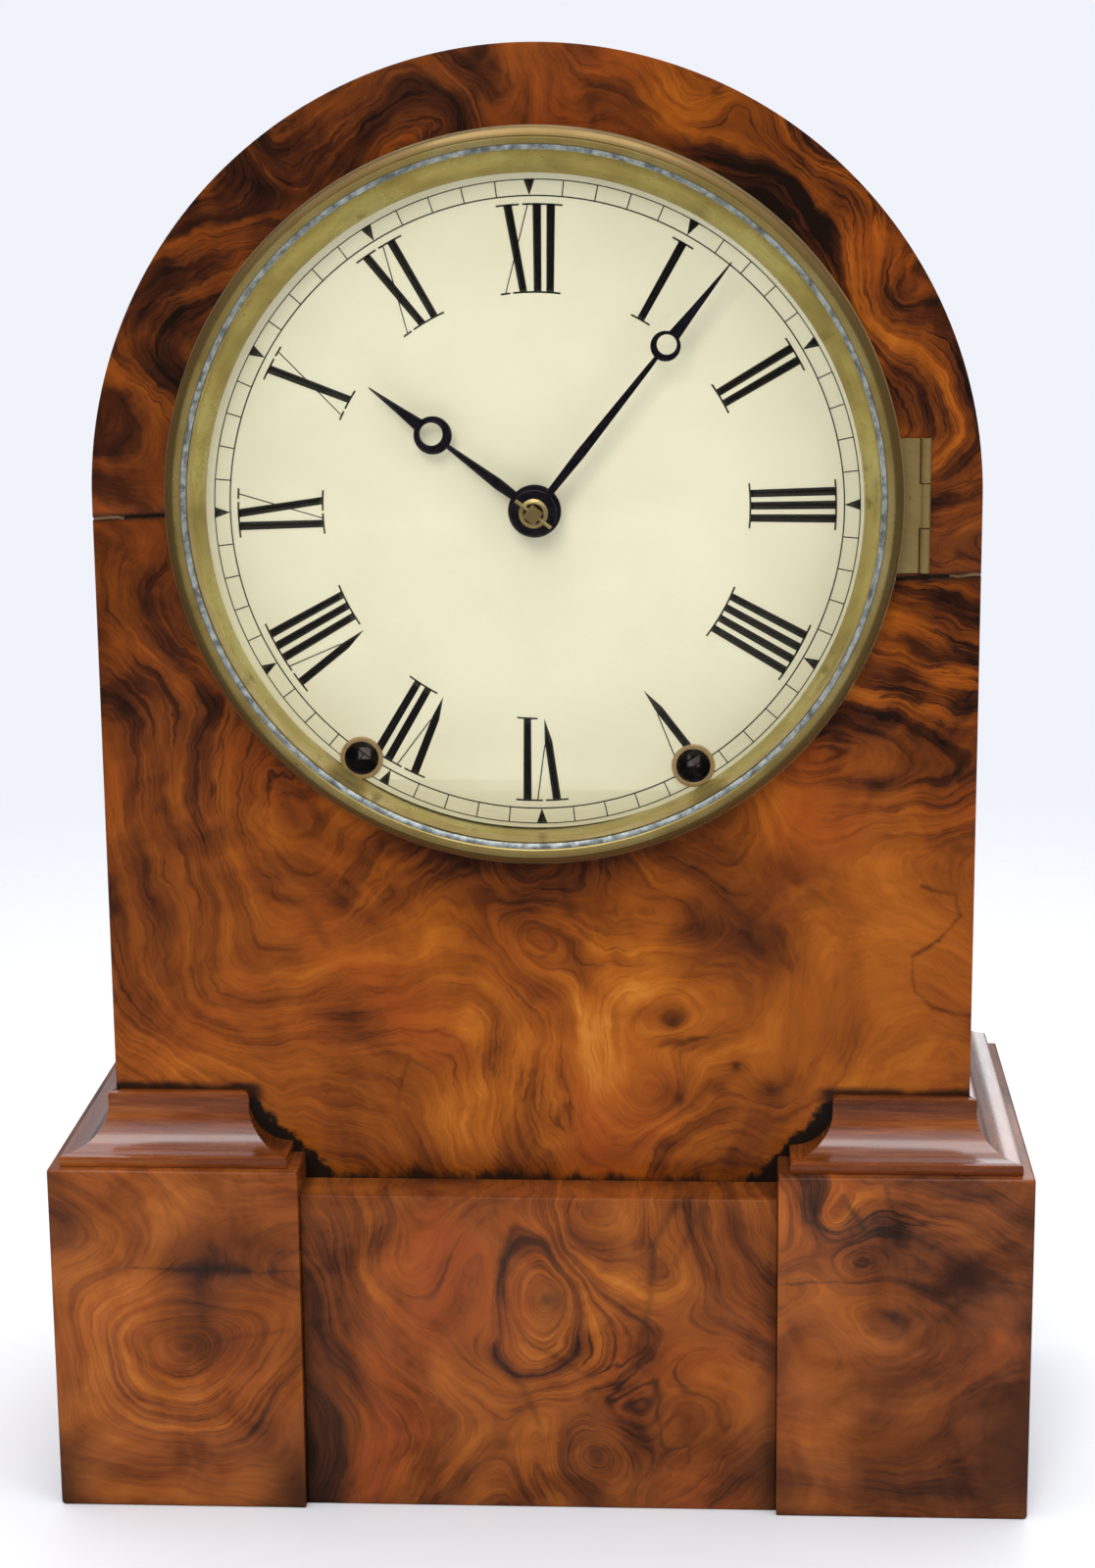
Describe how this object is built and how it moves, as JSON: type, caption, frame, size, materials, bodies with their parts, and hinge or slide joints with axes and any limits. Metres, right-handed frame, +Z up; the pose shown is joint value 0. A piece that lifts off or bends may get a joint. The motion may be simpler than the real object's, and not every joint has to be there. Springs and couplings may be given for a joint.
{
  "type": "bracket clock",
  "caption": "Round-topped wooden bracket clock with a hinged brass bezel over an enamelled dial, a back door, and a spring-driven time-and-strike movement.",
  "frame": {"origin": "bottom centre of the case, on the surface that it stands on", "axes": "+X to the right seen from the front, +Y to the back, +Z up"},
  "size_m": [0.257, 0.118, 0.38],
  "materials": {
    "walnut_veneer": "shellacked burl walnut veneer, satin",
    "walnut_moulding": "shellacked straight-grained walnut, satin",
    "carcase_pine": "aged unfinished pine",
    "aged_brass": "aged lacquered brass",
    "polished_brass": "polished brass",
    "dial_enamel": "cream dial enamel, matte",
    "solder_bead": "dull grey solder",
    "clear_glass": "clear",
    "blued_steel": "blued black, satin",
    "plate_brass": "rolled brass, dull",
    "steel": "turned steel",
    "spring_steel": "tempered blue-grey",
    "cast_iron": "blackened"
  },
  "bodies": {
    "case": {"case_shell": "walnut_veneer", "front_board": "carcase_pine", "front_veneer_upper": "walnut_veneer", "front_veneer_lower": "walnut_veneer", "base_block_left": "walnut_veneer", "base_block_right": "walnut_veneer", "plinth_panel": "walnut_veneer", "base_floor": "carcase_pine", "cove_front_left": "walnut_moulding", "cove_front_right": "walnut_moulding", "cove_side_left": "walnut_moulding", "cove_side_right": "walnut_moulding", "cove_return_left": "walnut_moulding", "cove_return_right": "walnut_moulding", "back_board": "carcase_pine", "door_hinge_fixed": "aged_brass", "dial_pan": "dial_enamel", "reflector_ring": "polished_brass", "winding_grommets": "polished_brass", "bezel_hinge_fixed": "aged_brass", "bezel_hinge_pin": "aged_brass", "front_plate": "plate_brass", "back_plate": "plate_brass", "plate_pillars": "steel", "pillar_nuts": "steel", "mounting_feet": "steel", "time_mainspring": "spring_steel", "strike_mainspring": "spring_steel", "gong_coil": "spring_steel", "gong_block": "cast_iron"},
    "bezel": {"bezel": "aged_brass", "bezel_glass": "clear_glass", "glass_bead": "solder_bead", "bezel_hinge_moving": "aged_brass"},
    "back_door": {"back_door": "carcase_pine", "door_hinge_moving": "aged_brass"},
    "turn_catch": {"turn_catch": "aged_brass"},
    "minute": {"centre_arbor": "plate_brass", "minute_hand": "blued_steel", "hand_washer": "polished_brass", "taper_pin": "polished_brass"},
    "hour": {"hour_wheel": "plate_brass", "hour_hand": "blued_steel"},
    "motion_wheel": {"minute_wheel": "plate_brass"},
    "time_great": {"time_great_wheel": "plate_brass"},
    "time_winding": {"time_winding_arbor": "steel"},
    "time_second": {"time_second_wheel": "plate_brass"},
    "time_third": {"time_third_wheel": "plate_brass"},
    "escape": {"escape_wheel": "plate_brass"},
    "verge": {"verge": "steel"},
    "pendulum": {"pendulum_rod": "steel", "pendulum_bob": "plate_brass"},
    "rating_nut": {"rating_nut": "plate_brass"},
    "strike_great": {"strike_great_wheel": "plate_brass"},
    "strike_winding": {"strike_winding_arbor": "steel"},
    "strike_second": {"strike_second_wheel": "plate_brass"},
    "strike_third": {"strike_third_wheel": "plate_brass"},
    "fly": {"fly": "plate_brass"},
    "hammer": {"hammer": "steel"}
  },
  "joints": [
    {"name": "bezel_hinge", "type": "hinge", "parent": "case", "child": "bezel", "pos_m": [0.0982, -0.042, 0.2661], "axis": [0, 0, 1], "range_deg": [0, 110]},
    {"name": "door_hinge", "type": "hinge", "parent": "case", "child": "back_door", "pos_m": [-0.0624, 0.0574, 0.179], "axis": [0, 0, 1], "range_deg": [0, 110]},
    {"name": "catch_turn", "type": "hinge", "parent": "case", "child": "turn_catch", "pos_m": [0.0678, 0.057, 0.179], "axis": [0, 1, 0], "range_deg": [0, 90]},
    {"name": "minute_turn", "type": "hinge", "parent": "case", "child": "minute", "pos_m": [0, -0.04, 0.2645], "axis": [0, 1, 0], "continuous": true},
    {"name": "hour_turn", "type": "hinge", "parent": "case", "child": "hour", "pos_m": [0, -0.035, 0.2645], "axis": [0, 1, 0], "continuous": true},
    {"name": "motion_wheel_turn", "type": "hinge", "parent": "case", "child": "motion_wheel", "pos_m": [0, -0.024, 0.2455], "axis": [0, 1, 0], "continuous": true},
    {"name": "time_great_turn", "type": "hinge", "parent": "case", "child": "time_great", "pos_m": [0.0402, -0.016, 0.1976], "axis": [0, 1, 0], "continuous": true},
    {"name": "time_winding", "type": "hinge", "parent": "time_great", "child": "time_winding", "pos_m": [0.0402, -0.016, 0.1976], "axis": [0, 1, 0], "continuous": true},
    {"name": "time_second_turn", "type": "hinge", "parent": "case", "child": "time_second", "pos_m": [0.02772, 0, 0.2303], "axis": [0, 1, 0], "continuous": true},
    {"name": "time_third_turn", "type": "hinge", "parent": "case", "child": "time_third", "pos_m": [-0.01401, 0, 0.28399], "axis": [0, 1, 0], "continuous": true},
    {"name": "escape_turn", "type": "hinge", "parent": "case", "child": "escape", "pos_m": [0, 0, 0.30024], "axis": [0, 1, 0], "continuous": true},
    {"name": "verge_rock", "type": "hinge", "parent": "case", "child": "verge", "pos_m": [0, 0.01, 0.31974], "axis": [0, 1, 0], "range_deg": [-2, 2]},
    {"name": "pendulum_swing", "type": "hinge", "parent": "case", "child": "pendulum", "pos_m": [0, 0.024, 0.31974], "axis": [0, 1, 0], "range_deg": [-2, 2]},
    {"name": "rating_nut_turn", "type": "hinge", "parent": "pendulum", "child": "rating_nut", "pos_m": [0, 0.024, 0.07134], "axis": [0, 0, 1], "continuous": true},
    {"name": "strike_great_turn", "type": "hinge", "parent": "case", "child": "strike_great", "pos_m": [-0.046, -0.016, 0.1994], "axis": [0, 1, 0], "continuous": true},
    {"name": "strike_winding", "type": "hinge", "parent": "strike_great", "child": "strike_winding", "pos_m": [-0.046, -0.016, 0.1994], "axis": [0, 1, 0], "continuous": true},
    {"name": "strike_second_turn", "type": "hinge", "parent": "case", "child": "strike_second", "pos_m": [-0.03801, 0, 0.23347], "axis": [0, 1, 0], "continuous": true},
    {"name": "strike_third_turn", "type": "hinge", "parent": "case", "child": "strike_third", "pos_m": [-0.03628, 0, 0.25019], "axis": [0, 1, 0], "continuous": true},
    {"name": "fly_turn", "type": "hinge", "parent": "case", "child": "fly", "pos_m": [-0.04029, 0, 0.2665], "axis": [0, 1, 0], "continuous": true},
    {"name": "hammer_lift", "type": "hinge", "parent": "case", "child": "hammer", "pos_m": [-0.012, -0.004, 0.184], "axis": [0, 1, 0], "range_deg": [0, 14]}
  ],
  "couplings": [
    {"joint": "hour_turn", "follows": "minute_turn", "ratio": 0.083333},
    {"joint": "motion_wheel_turn", "follows": "minute_turn", "ratio": -0.33333},
    {"joint": "time_second_turn", "follows": "minute_turn", "ratio": -0.57143},
    {"joint": "time_great_turn", "follows": "minute_turn", "ratio": 0.095238},
    {"joint": "time_third_turn", "follows": "minute_turn", "ratio": -9},
    {"joint": "escape_turn", "follows": "minute_turn", "ratio": 90},
    {"joint": "verge_rock", "follows": "pendulum_swing", "ratio": 1},
    {"joint": "strike_second_turn", "follows": "strike_great_turn", "ratio": -6},
    {"joint": "strike_third_turn", "follows": "strike_great_turn", "ratio": 36},
    {"joint": "fly_turn", "follows": "strike_great_turn", "ratio": -216}
  ]
}
